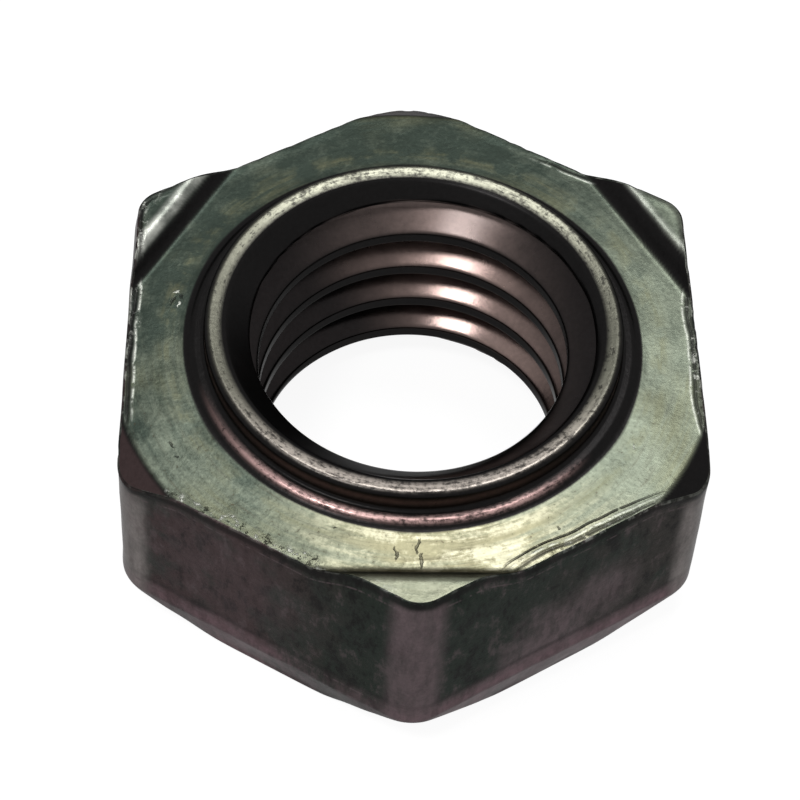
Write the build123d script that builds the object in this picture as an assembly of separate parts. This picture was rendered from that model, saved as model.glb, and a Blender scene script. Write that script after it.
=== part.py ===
from build123d import *
import math
import os

# M12 hexagon weld nut, cold-forged in one piece.
# Millimetres, +Z up. The origin is on the thread's axis, in the bearing face.
# The welding face, with its centring collar and three weld projections, is up.
# The hexagon's corners are at -90, -30, 30, 90, 150 and 210 degrees about Z. The first, third and
# fifth carry the weld projections, and the other three are chamfered.

# Thread: ISO metric coarse. The bore is finished to the thread's minor diameter.
THREAD_DIAMETER = 12.0
THREAD_PITCH = 1.75
THREAD_FLANK_ANGLE = 30.0  # from the plane across the axis
THREAD_DEPTH = 5 / 16 * THREAD_PITCH / math.tan(math.radians(THREAD_FLANK_ANGLE))
BORE_RADIUS = THREAD_DIAMETER / 2 - THREAD_DEPTH

# Countersinks at both mouths of the bore, whose cones stand at 45 degrees
COUNTERSINK_MARGIN = 0.11  # how far each cone opens past the thread's major radius
MOUTH_RADIUS = THREAD_DIAMETER / 2 + COUNTERSINK_MARGIN

# Hexagon
ACROSS_FLATS = 19.0  # at the top of the foot's bevel, the widest place
FLAT_LEAN = 0.175  # how far the die's draft leans each flat in, at the start of the rim's bevel
BODY_HEIGHT = 7.65  # bearing face to welding face
CORNER_ROUNDING = 1.4  # of the six upright edges, where the nut is widest
FOOT_BEVEL_HEIGHT = 1.5
FOOT_BEVEL_ANGLE = 12.0  # from upright
RIM_BEVEL_DEPTH = 0.3  # below the welding face
RIM_BEVEL_ANGLE = 10.0  # from upright

# Turned chamfers on the corners
FOOT_CHAMFER_INSET = 0.15  # in the bearing face: how far inside the flats the chamfer's circle lies
FOOT_CHAMFER_ANGLE = 45.0  # from the bearing face
FACE_CHAMFER_OUTSET = 0.3  # in the welding face: how far outside the flats the chamfer's circle lies
FACE_CHAMFER_ANGLE = 35.0  # from the welding face

# Centring collar round the bore's mouth
COLLAR_HEIGHT = 0.91  # above the welding face
COLLAR_LAND = 0.65  # the wall's thickness at the top
LAND_DIP = 0.08  # how far the land falls towards the bore
COLLAR_EDGE_ROUNDING = 0.2
COLLAR_FOOT_ROUNDING = 0.15
LEDGE_HEIGHT = 0.15  # of the low step round the collar's foot
LEDGE_WIDTH = 0.38  # at the step's top
LEDGE_FLARE = 0.2  # how much further out the step stands on the welding face

# Weld projections
PROJECTION_COUNT = 3
PROJECTION_HEIGHT = 0.6  # above the welding face
PROJECTION_EDGE_ANGLE = 14.0  # from upright, of the sides along the flats
PROJECTION_REACH = 1.6  # from the hexagon's sharp corner in to the crest
CREST_ROUNDING = 0.6
SLOPE_ANGLE = 50.0  # between the welding face and the crest
COVE_ROUNDING = 0.4  # where the slope leaves the welding face

CLEARANCE = 1.0  # how far a cutting shape runs past what it cuts

FLAT_DISTANCE = ACROSS_FLATS / 2
CREST_DISTANCE = FLAT_DISTANCE / math.cos(math.radians(30)) - PROJECTION_REACH
COLLAR_RADIUS = MOUTH_RADIUS + COLLAR_LAND
LIP_HEIGHT = BODY_HEIGHT + COLLAR_HEIGHT
MOUTH_HEIGHT = LIP_HEIGHT - LAND_DIP
SECTOR = 360 / PROJECTION_COUNT


def hexagon(inset: float) -> Sketch:
    """The hexagon's outline at one height: the widest outline, offset inwards."""
    outline = RegularPolygon(FLAT_DISTANCE - inset, 6, major_radius=False, rotation=30)
    return fillet(outline.vertices(), CORNER_ROUNDING - inset)


def turned(outline: Curve, arc: float = 360) -> Part:
    """The solid that a closed outline of radius and height sweeps about Z."""
    return revolve(Plane.XZ * make_face(outline), Axis.Z, revolution_arc=arc)


def hexagon_body() -> Part:
    """The forged hexagon: foot bevel, leaning flats, rim bevel, and above it the projections' bevel."""
    flats_height = BODY_HEIGHT - RIM_BEVEL_DEPTH - FOOT_BEVEL_HEIGHT
    draft_angle = math.degrees(math.atan(FLAT_LEAN / flats_height))
    rim_inset = FLAT_LEAN + RIM_BEVEL_DEPTH * math.tan(math.radians(RIM_BEVEL_ANGLE))

    foot = extrude(hexagon(0), -FOOT_BEVEL_HEIGHT, taper=FOOT_BEVEL_ANGLE)
    flats = extrude(hexagon(FLAT_LEAN), -flats_height, taper=-draft_angle)
    rim = extrude(hexagon(FLAT_LEAN), RIM_BEVEL_DEPTH, taper=RIM_BEVEL_ANGLE)
    projections = extrude(hexagon(rim_inset), PROJECTION_HEIGHT, taper=PROJECTION_EDGE_ANGLE)

    body = Pos(0, 0, FOOT_BEVEL_HEIGHT) * foot
    body += Pos(0, 0, BODY_HEIGHT - RIM_BEVEL_DEPTH) * (flats + rim)
    return body + Pos(0, 0, BODY_HEIGHT) * projections


def foot_chamfer() -> Part:
    """The turned shape that the hexagon's six lower corners are trimmed to."""
    circle = FLAT_DISTANCE - FOOT_CHAMFER_INSET
    rise = (ACROSS_FLATS - circle) * math.tan(math.radians(FOOT_CHAMFER_ANGLE))
    top = rise + BODY_HEIGHT + PROJECTION_HEIGHT
    return turned(
        Polyline((0, 0), (circle, 0), (ACROSS_FLATS, rise), (ACROSS_FLATS, top), (0, top), close=True)
    )


def corner_chamfer_cutter() -> Part:
    """What the upper chamfer takes off one corner: a sixth of a turn, from the flat's middle at +X."""
    circle = FLAT_DISTANCE + FACE_CHAMFER_OUTSET
    drop = (ACROSS_FLATS - circle) * math.tan(math.radians(FACE_CHAMFER_ANGLE))
    ceiling = BODY_HEIGHT + PROJECTION_HEIGHT + CLEARANCE
    outline = Polyline(
        (circle, BODY_HEIGHT),
        (ACROSS_FLATS, BODY_HEIGHT - drop),
        (ACROSS_FLATS, ceiling),
        (circle, ceiling),
        close=True,
    )
    return turned(outline, SECTOR / 2)


def punch() -> Part:
    """The forging punch over the welding face: flat inside three chords, and at each chord a cove and a
    slope that rise to the crest of a weld projection."""
    slope = math.radians(SLOPE_ANGLE)
    top = BODY_HEIGHT + PROJECTION_HEIGHT
    ceiling = top + CLEARANCE
    reach = 2 * ACROSS_FLATS
    crest_run = CREST_ROUNDING * math.tan(slope / 2)
    cove_run = COVE_ROUNDING * math.tan(slope / 2)
    slope_foot = CREST_DISTANCE - PROJECTION_HEIGHT / math.tan(slope)

    cove_start = (slope_foot - cove_run, BODY_HEIGHT)
    cove_end = (slope_foot + cove_run * math.cos(slope), BODY_HEIGHT + cove_run * math.sin(slope))
    crest_start = (CREST_DISTANCE - crest_run * math.cos(slope), top - crest_run * math.sin(slope))
    crest_end = (CREST_DISTANCE + crest_run, top)
    outline = Curve() + [
        Line((-reach, BODY_HEIGHT), cove_start),
        RadiusArc(cove_start, cove_end, -COVE_ROUNDING),
        Line(cove_end, crest_start),
        RadiusArc(crest_start, crest_end, CREST_ROUNDING),
        Polyline(crest_end, (reach, top), (reach, ceiling), (-reach, ceiling), (-reach, BODY_HEIGHT)),
    ]
    across_one_chord = extrude(Plane.XZ * make_face(outline), reach, both=True)
    first, second, third = (Rot(0, 0, SECTOR * number - 90) * across_one_chord for number in range(3))
    return first & second & third


def collar() -> Part:
    """The centring collar, with its rounded edge, its land that dips inwards, and the step round its foot."""
    ledge = BODY_HEIGHT + LEDGE_HEIGHT
    ledge_radius = COLLAR_RADIUS + LEDGE_WIDTH
    ledge_foot_radius = ledge_radius + LEDGE_FLARE
    land_start = (COLLAR_RADIUS - COLLAR_EDGE_ROUNDING, LIP_HEIGHT)
    wall_top = (COLLAR_RADIUS, LIP_HEIGHT - COLLAR_EDGE_ROUNDING)
    wall_foot = (COLLAR_RADIUS, ledge + COLLAR_FOOT_ROUNDING)
    ledge_start = (COLLAR_RADIUS + COLLAR_FOOT_ROUNDING, ledge)
    outline = Curve() + [
        Polyline((0, MOUTH_HEIGHT), (MOUTH_RADIUS, MOUTH_HEIGHT), land_start),
        RadiusArc(land_start, wall_top, COLLAR_EDGE_ROUNDING),
        Line(wall_top, wall_foot),
        RadiusArc(wall_foot, ledge_start, -COLLAR_FOOT_ROUNDING),
        Polyline(
            ledge_start,
            (ledge_radius, ledge),
            (ledge_foot_radius, BODY_HEIGHT),
            (ledge_foot_radius, BODY_HEIGHT - CLEARANCE),
            (0, BODY_HEIGHT - CLEARANCE),
            (0, MOUTH_HEIGHT),
        ),
    ]
    return turned(outline)


def bore() -> Part:
    """The bore at the thread's minor diameter, with a countersink at each mouth."""
    countersink_depth = MOUTH_RADIUS - BORE_RADIUS
    outline = Polyline(
        (0, -CLEARANCE),
        (MOUTH_RADIUS + CLEARANCE, -CLEARANCE),
        (BORE_RADIUS, countersink_depth),
        (BORE_RADIUS, MOUTH_HEIGHT - countersink_depth),
        (MOUTH_RADIUS + CLEARANCE, MOUTH_HEIGHT + CLEARANCE),
        (0, MOUTH_HEIGHT + CLEARANCE),
        close=True,
    )
    return turned(outline)


def weld_nut() -> Part:
    """The whole nut, one solid."""
    nut = (hexagon_body() & foot_chamfer()) - punch()
    chamfer = corner_chamfer_cutter()
    for number in range(PROJECTION_COUNT):
        nut -= Rot(0, 0, SECTOR * number - SECTOR / 2) * chamfer
    return nut + collar() - bore()


os.makedirs("parts", exist_ok=True)
export_step(weld_nut(), "parts/weld_nut.step")
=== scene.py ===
"""Looks of the M12 hexagon weld nut: its forged skin with the helical thread, its steel, and a studio."""

import functools
import logging
import math
from collections.abc import Iterable
from dataclasses import dataclass, field, replace
from enum import Enum, IntEnum
from typing import Any

import bpy
import numpy as np
from mathutils import Matrix, Vector
from numpy.typing import NDArray


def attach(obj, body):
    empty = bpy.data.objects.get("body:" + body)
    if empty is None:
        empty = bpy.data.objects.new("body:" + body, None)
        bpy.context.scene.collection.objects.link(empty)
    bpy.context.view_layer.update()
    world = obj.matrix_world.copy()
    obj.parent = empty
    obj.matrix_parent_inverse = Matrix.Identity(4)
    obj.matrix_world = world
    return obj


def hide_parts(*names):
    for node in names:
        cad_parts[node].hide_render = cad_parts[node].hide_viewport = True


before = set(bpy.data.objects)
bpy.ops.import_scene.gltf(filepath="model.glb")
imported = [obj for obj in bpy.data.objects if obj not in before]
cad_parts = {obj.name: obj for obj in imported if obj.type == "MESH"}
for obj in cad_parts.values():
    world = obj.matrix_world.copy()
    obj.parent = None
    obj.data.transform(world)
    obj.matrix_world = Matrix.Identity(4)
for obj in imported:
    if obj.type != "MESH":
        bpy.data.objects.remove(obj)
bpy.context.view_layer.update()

LOG = logging.getLogger("weld_nut")
MM = 0.001
SIXTH = math.pi / 3  # of a turn, between the hexagon's corners
Array = NDArray[np.float64]
Value = Array | float
Row = tuple[Value, Value]  # radius and height of one row of the skin
Point = tuple[float, float]  # radius and height
Span = tuple[float, float]
Triple = tuple[float, float, float]
Stretches = tuple[Triple, ...]  # middle, half width and strength of each
Colour = tuple[float, float, float, float]
Settings = dict[Any, Any] | None


class Hand(Enum):
    """Which way a thread's turns rise."""

    RIGHT = 1
    LEFT = -1


class Region(IntEnum):
    """Stretches of the skin's rows, in their order round the half section."""

    BORE = 0
    LIP = 1
    COLLAR = 2
    FACE = 3
    SIDE = 4
    FLOOR = 5
    HEM = 6


class Zone(Enum):
    """Vertex attributes that tell the finish where it is on the nut."""

    FACE = "zone_face"
    # Film: oxide in part, painted shade in part on the collar, the face's slopes and the countersinks
    FILM_AND_SHADE = "zone_film_and_shade"
    BORE = "zone_bore"
    # Painted shade along the thread's crests
    CREST_SHADE = "zone_crest_shade"
    COLLAR = "zone_collar"
    FOOT = "zone_foot"
    CORNER = "zone_corner"
    # Rubbed crest line, in part a painted highlight
    WORN_AND_SHEEN = "zone_worn_and_sheen"
    RIM = "zone_rim"
    BURR = "zone_burr"
    CRUMBLE = "zone_crumble"


def smooth_min(a: Array, b: Value, blend: float) -> Array:
    """The lower of two heights, with a parabola of the given half width where they cross.

    Args:
        a: First height.
        b: Second height.
        blend: Difference of the heights at which the parabola starts.

    Returns:
        min(a, b) less a quarter of the squared overlap with the blend, divided by the blend.
    """
    overlap = np.maximum(blend - np.abs(a - b), 0.0)
    return np.minimum(a, b) - overlap * overlap / (4.0 * blend)


def smooth_max(a: Array, b: Value, blend: float) -> Array:
    """The higher of two heights, blended like smooth_min."""
    return -smooth_min(-a, -b, blend)


def smooth_step(low: Value, high: Value, x: Array) -> Array:
    """0 at low, 1 at high, and the cubic 3t^2 - 2t^3 between."""
    t = np.clip((x - low) / (high - low), 0.0, 1.0)
    return t * t * (3.0 - 2.0 * t)


def bell(x: Array, half_width: float, power: int = 2) -> Array:
    """1 at 0, falling to 1/e at the half width: e to the power of -(x / half_width)^power."""
    return np.exp(-((x / half_width) ** power))


def from_nearest(angle: Array, step: float) -> Array:
    """How far each angle is past the nearest whole number of steps."""
    return angle - np.round(angle / step) * step


def tangent(degrees: float) -> float:
    """The tangent of an angle in degrees."""
    return math.tan(math.radians(degrees))


def arc(centre: Point, rounding: float, first: float, last: float, count: int) -> list[Point]:
    """Points round an arc: the centre plus the rounding times the angle's cosine and sine.

    Args:
        centre: Radius and height of the arc's centre.
        rounding: The arc's own radius.
        first: Angle of the first point, in degrees.
        last: Angle of the last point, in degrees.
        count: Number of points, with both ends.

    Returns:
        Radius and height of each point.
    """
    turns = np.radians(np.linspace(first, last, count))
    return [(centre[0] + rounding * math.cos(t), centre[1] + rounding * math.sin(t)) for t in turns]


def grey(level: float) -> Colour:
    """A colour without a hue."""
    return (level, level, level, 1)


def placed(name: str, data: bpy.types.ID) -> bpy.types.Object:
    """A new object in the scene, at the origin."""
    made = bpy.data.objects.new(name, data)
    bpy.context.scene.collection.objects.link(made)
    return made


@dataclass
class Waves:
    """Gentle unevenness: a sum of sine waves in random directions, the same on every run."""

    seed: int
    shortest: float
    longest: float
    count: int = 40

    def __post_init__(self) -> None:
        """Draws the waves' directions, lengths and phases."""
        draw = np.random.default_rng(self.seed)
        direction = draw.normal(size=(self.count, 3))
        direction /= np.linalg.norm(direction, axis=1, keepdims=True)
        length = np.exp(draw.uniform(math.log(self.shortest), math.log(self.longest), self.count))
        self.vectors: Array = 2 * math.pi * direction / length[:, None]
        self.phases: Array = draw.uniform(0, 2 * math.pi, self.count)

    def at(self, x: Array, y: Array, z: Array) -> Array:
        """The height of the waves, with a spread of about 1.

        Args:
            x: Places along X.
            y: Places along Y.
            z: Places along Z.

        Returns:
            The waves' sum over the square root of half their number.
        """
        total = np.zeros(np.broadcast(x, y, z).shape)
        for vector, phase in zip(self.vectors, self.phases):
            total += np.sin(vector[0] * x + vector[1] * y + vector[2] * z + phase)
        return total / math.sqrt(self.count / 2)


@dataclass
class Thread:
    """The ISO metric internal thread."""

    diameter: float = 12.0
    pitch: float = 1.75
    flank_angle: float = 30.0
    start: float = 0.11
    hand: Hand = Hand.LEFT
    crest_blend: float = 0.1
    root_blend: float = 0.15
    crowding: Stretches = ((1 / 8, 0.045, 2.2), (1 / 2, 0.08, 1.4))  # of rows, in pitches

    @property
    def depth(self) -> float:
        """Radial depth, 5/16 of the pitch over the tangent of the flank's angle."""
        return 5 / 16 * self.pitch / tangent(self.flank_angle)

    @property
    def minor_radius(self) -> float:
        """Radius of the crests."""
        return self.diameter / 2 - self.depth

    @property
    def half_crest(self) -> float:
        """Half the width of a crest, which is a quarter of the pitch wide."""
        return self.pitch / 8

    def turn(self, angle: Array, z: Array) -> Array:
        """How many pitches above a crest's middle each place is, from -0.5 to 0.5."""
        phase = (z - self.start) / self.pitch - self.hand.value * angle / (2 * math.pi)
        return phase - np.round(phase)

    def radius(self, angle: Array, z: Array) -> Array:
        """The wall's radius: a flat crest, flanks at 60 degrees to each other, and a levelled root.

        Args:
            angle: Angle about Z, in radians.
            z: Height, in millimetres.

        Returns:
            The minor radius plus the distance from the crest over the tangent of the flank's angle, kept
            between 0 and the depth.
        """
        away = np.abs(self.turn(angle, z)) * self.pitch - self.half_crest
        flank = away / tangent(self.flank_angle)
        rise = smooth_max(flank, 0.0, self.crest_blend)
        return self.minor_radius + smooth_min(rise, self.depth, self.root_blend)

    def rows(self, angle: Array, low: float, high: float, count: int) -> Array:
        """Heights of rows that crowd together at the thread's crests and roots and close round the bore.

        A density that repeats with the pitch follows the helix. Each row lies where the density summed from
        the bottom reaches its share of the whole, so a full turn brings every row back to where it began.

        Args:
            angle: Angles about Z, in radians, one per column.
            low: Lowest row's height.
            high: Highest row's height.
            count: Number of rows.

        Returns:
            Heights, one line per row and one column per angle.
        """
        phase = np.linspace(0.0, 1.0, 721)  # of one pitch
        away = np.abs(from_nearest(phase, 1.0))
        bells = [strength * bell(away - middle, reach) for middle, reach, strength in self.crowding]
        density = 1.0 + sum(bells)
        total = np.concatenate([[0.0], np.cumsum((density[1:] + density[:-1]) / 2)])
        total /= total[-1]
        turns = np.arange(-3, 9)  # more than the bore holds
        all_phase = (phase[None, :-1] + turns[:, None]).ravel()
        all_total = (total[None, :-1] + turns[:, None]).ravel()
        origin = self.start + self.hand.value * self.pitch * angle / (2 * math.pi)
        first = np.interp((low - origin) / self.pitch, all_phase, all_total)
        last = np.interp((high - origin) / self.pitch, all_phase, all_total)
        share = np.linspace(0.0, 1.0, count)[:, None]
        reached = first[None, :] + share * (last - first)[None, :]
        return origin[None, :] + self.pitch * np.interp(reached, all_total, all_phase)


@dataclass
class HexagonBody:
    """The forged hexagon: foot bevel, leaning flats, rim bevel, chamfered corners and weld projections."""

    across_flats: float = 19.0
    flat_lean: float = 0.175
    height: float = 7.65
    corner_rounding: float = 1.4
    foot_bevel_height: float = 1.5
    foot_bevel_angle: float = 12.0
    rim_bevel_depth: float = 0.3
    rim_bevel_angle: float = 10.0
    bevel_softness: float = 0.06  # half the height over which the bevels' ends are rounded
    foot_chamfer_inset: float = 0.15
    foot_chamfer_angle: float = 45.0
    foot_chamfer_blend: float = 0.1
    face_chamfer_outset: float = 0.3
    face_chamfer_angle: float = 35.0
    face_chamfer_blend: float = 0.06
    projection_height: float = 0.6
    projection_edge_angle: float = 14.0
    projection_reach: float = 1.6
    slope_angle: float = 50.0
    crest_blend: float = 0.27
    cove_blend: float = 0.18
    edge_rounding: float = 0.07
    inside: float = 0.004  # how far the flats keep inside the solid's

    @property
    def crest_distance(self) -> float:
        """Distance from the axis to the chord along each projection's crest."""
        return self.across_flats / 2 / math.cos(SIXTH / 2) - self.projection_reach

    def inradius(self, z: Array) -> Array:
        """Distance from the axis to the flats at each height: straight lines between the bevels' ends.

        Args:
            z: Height, in millimetres.

        Returns:
            The distance, averaged over the bevels' softness.
        """
        widest = self.across_flats / 2
        foot = widest - self.foot_bevel_height * tangent(self.foot_bevel_angle)
        rim = widest - self.flat_lean
        face = rim - self.rim_bevel_depth * tangent(self.rim_bevel_angle)
        top = face - self.projection_height * tangent(self.projection_edge_angle)
        heights = [
            0.0,
            self.foot_bevel_height,
            self.height - self.rim_bevel_depth,
            self.height,
            self.height + self.projection_height,
        ]
        spread = self.bevel_softness * np.linspace(-1.0, 1.0, 5)
        sampled = np.interp(z[..., None] + spread, heights, [foot, widest, rim, face, top])
        return sampled.mean(axis=-1)

    def outline(self, angle: Array, z: Array) -> Array:
        """Radius of the rounded hexagon: a flat's distance over the cosine, or the corner's arc.

        Args:
            angle: Angle about Z, in radians.
            z: Height, in millimetres.

        Returns:
            The radius at each angle and height.
        """
        flat = self.inradius(z) - self.inside
        rounding = self.corner_rounding - (self.across_flats / 2 - flat)
        from_flat = from_nearest(angle, SIXTH)
        from_corner = SIXTH / 2 - np.abs(from_flat)
        centre = (flat - rounding) / math.cos(SIXTH / 2)
        arc_end = np.arctan2(rounding / 2, centre + rounding * math.cos(SIXTH / 2))
        under_root = rounding**2 - (centre * np.sin(from_corner)) ** 2
        rounded = centre * np.cos(from_corner) + np.sqrt(np.maximum(under_root, 0.0))
        return np.where(from_corner < arc_end, rounded, flat / np.cos(from_flat))

    def side(self, angle: Array, z: Array) -> Array:
        """Radius of the nut's side: the hexagon, trimmed to the foot's turned chamfer."""
        circle = self.across_flats / 2 - self.foot_chamfer_inset
        cone = circle + z / tangent(self.foot_chamfer_angle)
        return smooth_min(self.outline(angle, z), cone, self.foot_chamfer_blend)

    def from_projection(self, angle: Array) -> Array:
        """Angle from the nearest corner with a weld projection, in radians."""
        return from_nearest(angle + math.pi / 2, 2 * SIXTH)

    def top(self, angle: Array, radius: Array) -> Array:
        """Height of the welding face: level, with a cove, a slope and a crest at each projection.

        Args:
            angle: Angle about Z, in radians.
            radius: Distance from the axis, in millimetres.

        Returns:
            The height, lowered by the turned chamfer at the corners without a projection.
        """
        away = self.from_projection(angle)
        steep = tangent(self.slope_angle)
        slope = (radius * np.cos(away) - self.crest_distance) * steep + self.projection_height
        crest = smooth_min(slope, self.projection_height, self.crest_blend)
        level = self.height + smooth_max(crest, 0.0, self.cove_blend)
        circle = self.across_flats / 2 + self.face_chamfer_outset
        chamfer = self.height - (radius - circle) * tangent(self.face_chamfer_angle)
        chamfered = np.abs(away) > SIXTH / 2
        return np.where(chamfered, smooth_min(level, chamfer, self.face_chamfer_blend), level)

    def edge(self, angle: Array) -> tuple[Array, Array]:
        """The sharp edge between the welding face and the side, found by repeated substitution.

        Args:
            angle: Angle about Z, in radians.

        Returns:
            The edge's radius and height at each angle.
        """
        radius = self.outline(angle, np.full_like(angle, self.height))
        for _ in range(30):
            radius = 0.5 * radius + 0.5 * self.outline(angle, self.top(angle, radius))
        return radius, self.top(angle, radius)


@dataclass
class CentringCollar:
    """The turned collar round the bore's mouth, and the low step round its foot."""

    height: float = 0.91
    land: float = 0.65
    land_dip: float = 0.08
    edge_rounding: float = 0.2
    foot_rounding: float = 0.15
    ledge_height: float = 0.15
    ledge_width: float = 0.38
    ledge_flare: float = 0.2
    ledge_edge: tuple[Point, ...] = ((-0.08, 0.0), (-0.02, -0.008), (0.04, -0.03))  # from its sharp edge
    ledge_foot: tuple[Point, ...] = ((-0.04, 0.028), (0.03, 0.005))  # from its sharp foot

    def profile(self, mouth: float, face: float) -> list[Point]:
        """The collar's section: its dipping land, its edge, its wall, and the step down to the face.

        Args:
            mouth: Radius of the land's inner edge.
            face: Height of the welding face.

        Returns:
            Radius and height of each point, from the inside outwards.
        """
        wall, lip, ledge = mouth + self.land, face + self.height, face + self.ledge_height
        land_end, edge_start = wall - self.edge_rounding, lip - self.edge_rounding
        land = [(mouth + (land_end - mouth) * t, lip - self.land_dip * (1 - t)) for t in (0.35, 0.6, 0.85)]
        edge = arc((land_end, edge_start), self.edge_rounding, 90.0, 0.0, 8)
        foot_start = ledge + self.foot_rounding
        foot = arc((wall + self.foot_rounding, foot_start), self.foot_rounding, 180.0, 270.0, 6)
        ledge_end = wall + self.ledge_width
        slope_end = ledge_end + self.ledge_flare
        step = [(ledge_end + out, ledge + up) for out, up in self.ledge_edge]
        step.append(((ledge_end + slope_end) / 2, face + 0.45 * self.ledge_height))
        step += [(slope_end + out, face + up) for out, up in self.ledge_foot]
        return land + edge + [(wall, (edge_start + foot_start) / 2)] + foot + step


@dataclass
class Skin:
    """The nut's closed surface: one line per row of the half section and one column per angle."""

    angle: Array
    radius: Array
    height: Array
    region: NDArray[np.int_]

    def on(self, *regions: Region) -> NDArray[np.bool_]:
        """Whether each row is in one of the regions, as a column."""
        return np.isin(self.region, regions)[:, None]

    @property
    def x(self) -> Array:
        """Places along X."""
        return self.radius * np.cos(self.angle)

    @property
    def y(self) -> Array:
        """Places along Y."""
        return self.radius * np.sin(self.angle)


@dataclass
class WeldNut:
    """The whole nut as one closed surface: every half section is a ring of the same rows."""

    body: HexagonBody = field(default_factory=HexagonBody)
    collar: CentringCollar = field(default_factory=CentringCollar)
    thread: Thread = field(default_factory=Thread)
    mouth_margin: float = 0.11
    mouth_rounding: float = 0.07
    upper_mouth_blend: float = 0.14
    lower_mouth_blend: float = 0.05
    foot_rounding: float = 0.12
    columns: int = 384
    corner_crowding: float = 0.42
    bore_rows: int = 128
    mouth_rows: int = 4
    face_rows: int = 43
    face_crowding: float = 1.35
    rim_rows: int = 7
    side_rows: tuple[int, int, int] = (7, 8, 23)  # to the rim bevel's foot, the belt and the foot
    belt: float = 1.8  # height below which the side's rows are closer together
    foot_rows: int = 6
    floor_shares: tuple[float, ...] = (0.2, 0.45, 0.7, 0.9, 1.0)  # of the way inwards, one row at each

    @property
    def mouth_radius(self) -> float:
        """Radius where the countersink meets the collar's land, and the bearing face."""
        return self.thread.diameter / 2 + self.mouth_margin

    @property
    def collar_radius(self) -> float:
        """Radius of the collar's wall."""
        return self.mouth_radius + self.collar.land

    @property
    def mouth_height(self) -> float:
        """Height of the land's inner edge."""
        return self.body.height + self.collar.height - self.collar.land_dip

    def angles(self) -> Array:
        """Column angles, closer together at the six corners: t plus a share of sin(6t) / 6."""
        t = np.arange(self.columns) / self.columns * 2 * math.pi
        return t + self.corner_crowding * np.sin(6 * t) / 6

    def bend(self, start: Row, corner: Row, end: Row, count: int) -> list[Row]:
        """Rows round an edge: the quadratic curve from start to end that the sharp corner pulls outwards.

        At the share t of the way, the three are weighed by (1 - t)^2, 2t(1 - t) and t^2.

        Args:
            start: Radius and height where the rounding begins.
            corner: Radius and height of the sharp edge.
            end: Radius and height where the rounding ends.
            count: Number of rows, with both ends.

        Returns:
            The rows.
        """
        rows = []
        for t in np.linspace(0.0, 1.0, count):
            weights = ((1 - t) ** 2, 2 * t * (1 - t), t**2)
            rows.append(
                tuple(sum(w * p[k] for w, p in zip(weights, (start, corner, end))) for k in (0, 1))
            )
        return rows

    def bore(self, angle: Array) -> list[Row]:
        """Rows up the bore: the thread's wall, opened at both mouths by cones at 45 degrees.

        Args:
            angle: Column angles, in radians.

        Returns:
            The rows. The wall is the greatest of the thread's radius and the cones'.
        """
        mouth, top, soft = self.mouth_radius, self.mouth_height, self.mouth_rounding
        z = self.thread.rows(angle, soft, top - soft, self.bore_rows)
        wall = self.thread.radius(angle[None, :], z)
        opened = smooth_max(wall, mouth - z, self.lower_mouth_blend)
        radius = smooth_max(opened, mouth - (top - z), self.upper_mouth_blend)
        return list(zip(radius, z))

    def face(self, angle: Array, inner: float) -> list[Row]:
        """Rows of the welding face from the collar's step out to the edge, closer together outwards.

        Args:
            angle: Column angles, in radians.
            inner: Radius where the step ends.

        Returns:
            The rows, each at the share 1 - (1 - t)^crowding of the way.
        """
        edge_radius, _ = self.body.edge(angle)
        outer = edge_radius - self.body.edge_rounding
        rows = []
        for t in np.linspace(0.0, 1.0, self.face_rows + 1)[1:]:
            share = 1 - (1 - t) ** self.face_crowding
            radius = inner + share * (outer - inner)
            rows.append((radius, self.body.top(angle, radius)))
        return rows

    def side(self, angle: Array) -> list[Row]:
        """Rows round the rim's edge, down the flats and the foot's bevel, and round the foot's edge.

        Args:
            angle: Column angles, in radians.

        Returns:
            The rows, from the top down.
        """
        body, foot = self.body, self.foot_rounding
        edge_radius, edge_height = body.edge(angle)
        inner = edge_radius - body.edge_rounding
        below = edge_height - body.edge_rounding
        start = (inner, body.top(angle, inner))
        end = (body.side(angle, below), below)
        rows = self.bend(start, (edge_radius, edge_height), end, self.rim_rows)[1:]
        rim = np.minimum(body.height - body.rim_bevel_depth, below - 0.2)
        levels = (below, rim, self.belt, foot)
        for upper, lower, count in zip(levels, levels[1:], self.side_rows):
            for share in np.linspace(0.0, 1.0, count + 1)[1:]:
                z = np.broadcast_to(upper + share * (lower - upper), angle.shape)
                rows.append((body.side(angle, z), z))
        sharp = body.side(angle, np.zeros_like(angle))
        return rows + self.bend(rows[-1], (sharp, 0.0), (sharp - foot, 0.0), self.foot_rows)[1:]

    def skin(self) -> Skin:
        """The nut's surface as the tools left it, before any dent.

        Returns:
            All rows of the closed half section, with the region of each.
        """
        angle = self.angles()
        mouth, top, soft = self.mouth_radius, self.mouth_height, self.mouth_rounding
        land_start = (mouth + soft, top + soft * self.collar.land_dip / self.collar.land)
        profile = [land_start] + self.collar.profile(mouth, self.body.height)
        bore, side = self.bore(angle), self.side(angle)
        last, end = side[-1][0], mouth + soft
        floor = [(last + share * (end - last), 0.0) for share in self.floor_shares]
        regions = {
            Region.BORE: bore,
            Region.LIP: self.bend(bore[-1], (mouth, top), (end, top), self.mouth_rows)[1:-1],
            Region.COLLAR: profile,
            Region.FACE: self.face(angle, profile[-1][0]),
            Region.SIDE: side,
            Region.FLOOR: floor,
            Region.HEM: self.bend(floor[-1], (mouth, 0.0), bore[0], self.mouth_rows)[1:-1],
        }
        rows = [np.broadcast_arrays(angle, *row)[1:] for part in regions.values() for row in part]
        radius, height = np.array(rows).swapaxes(0, 1)
        region = np.repeat(list(regions), [len(part) for part in regions.values()])
        return Skin(angle, radius, height, region)

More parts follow.
